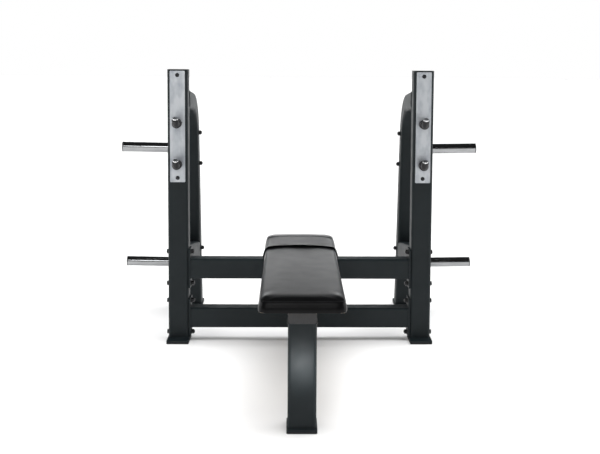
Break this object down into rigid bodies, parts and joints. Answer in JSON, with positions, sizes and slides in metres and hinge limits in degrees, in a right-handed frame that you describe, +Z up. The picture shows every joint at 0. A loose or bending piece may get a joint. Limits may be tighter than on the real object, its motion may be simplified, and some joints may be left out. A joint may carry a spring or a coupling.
{
  "type": "olympic bench press",
  "caption": "Flat weight bench with two arched side frames, crossbars, bar catches on steel guard plates and weight storage horns.",
  "frame": {"origin": "floor level under the centre of the whole bench's bounding box", "axes": "+Z up; +X to the right seen from the foot end of the bench; +Y towards the lifter's head, where the uprights and rear legs stand"},
  "size_m": [1.7428, 1.768, 1.212],
  "materials": {
    "frame_paint": "satin charcoal powder coat",
    "guard_steel": "bright brushed stainless sheet",
    "horn_chrome": "chrome-plated pipe",
    "catch_steel": "bright plated bar",
    "catch_rubber": "matte black moulded rubber",
    "black_fasteners": "black oxide",
    "foot_rubber": "matte black rubber",
    "black_plastic": "matte black moulding",
    "pad_vinyl": "black grained upholstery vinyl",
    "cover_vinyl": "black wipe-clean vinyl, slightly lighter",
    "plywood": "birch plywood",
    "zinc": "zinc-plated steel"
  },
  "bodies": {
    "bench": {"bar_catch_nuts": "black_fasteners", "bar_catch_sleeves": "catch_rubber", "crossbar_bolt_nuts": "black_fasteners", "crossbar_bolt_washers": "black_fasteners", "crossbar_bolts": "black_fasteners", "front_foot_pad": "foot_rubber", "front_foot_plate": "frame_paint", "front_leg": "frame_paint", "guard_plate_screws": "black_fasteners", "horn_bolt_nuts": "black_fasteners", "horn_bolt_washers": "black_fasteners", "horn_bolts": "black_fasteners", "horn_end_caps": "black_plastic", "left_guard_plate": "guard_steel", "left_lower_bar_catch": "catch_steel", "left_lower_flange": "frame_paint", "left_lower_horn_plate": "frame_paint", "left_lower_plate_horn": "horn_chrome", "left_rear_arch": "frame_paint", "left_rear_foot_pad": "foot_rubber", "left_rear_foot_plate": "frame_paint", "left_side_brace": "frame_paint", "left_top_cap": "black_plastic", "left_upper_bar_catch": "catch_steel", "left_upper_flange": "frame_paint", "left_upper_horn_plate": "frame_paint", "left_upper_plate_horn": "horn_chrome", "left_upright": "frame_paint", "left_upright_foot_pad": "foot_rubber", "left_upright_foot_plate": "frame_paint", "lower_crossbar": "frame_paint", "pad_board": "plywood", "pad_bolts": "zinc", "pad_brackets": "frame_paint", "pad_cushion": "pad_vinyl", "pad_tee_nuts": "zinc", "right_guard_plate": "guard_steel", "right_lower_bar_catch": "catch_steel", "right_lower_flange": "frame_paint", "right_lower_horn_plate": "frame_paint", "right_lower_plate_horn": "horn_chrome", "right_rear_arch": "frame_paint", "right_rear_foot_pad": "foot_rubber", "right_rear_foot_plate": "frame_paint", "right_side_brace": "frame_paint", "right_top_cap": "black_plastic", "right_upper_bar_catch": "catch_steel", "right_upper_flange": "frame_paint", "right_upper_horn_plate": "frame_paint", "right_upper_plate_horn": "horn_chrome", "right_upright": "frame_paint", "right_upright_foot_pad": "foot_rubber", "right_upright_foot_plate": "frame_paint", "saddle_bolts": "zinc", "saddle_nuts": "zinc", "saddle_plate": "frame_paint", "spine_beam": "frame_paint", "spine_end_caps": "black_plastic", "upper_crossbar": "frame_paint"},
    "head_cover": {"head_cover": "cover_vinyl"}
  },
  "joints": [
    {"name": "head_cover_slide", "type": "slide", "parent": "bench", "child": "head_cover", "axis": [0, 1, 0], "range_m": [0, 0.335]}
  ]
}
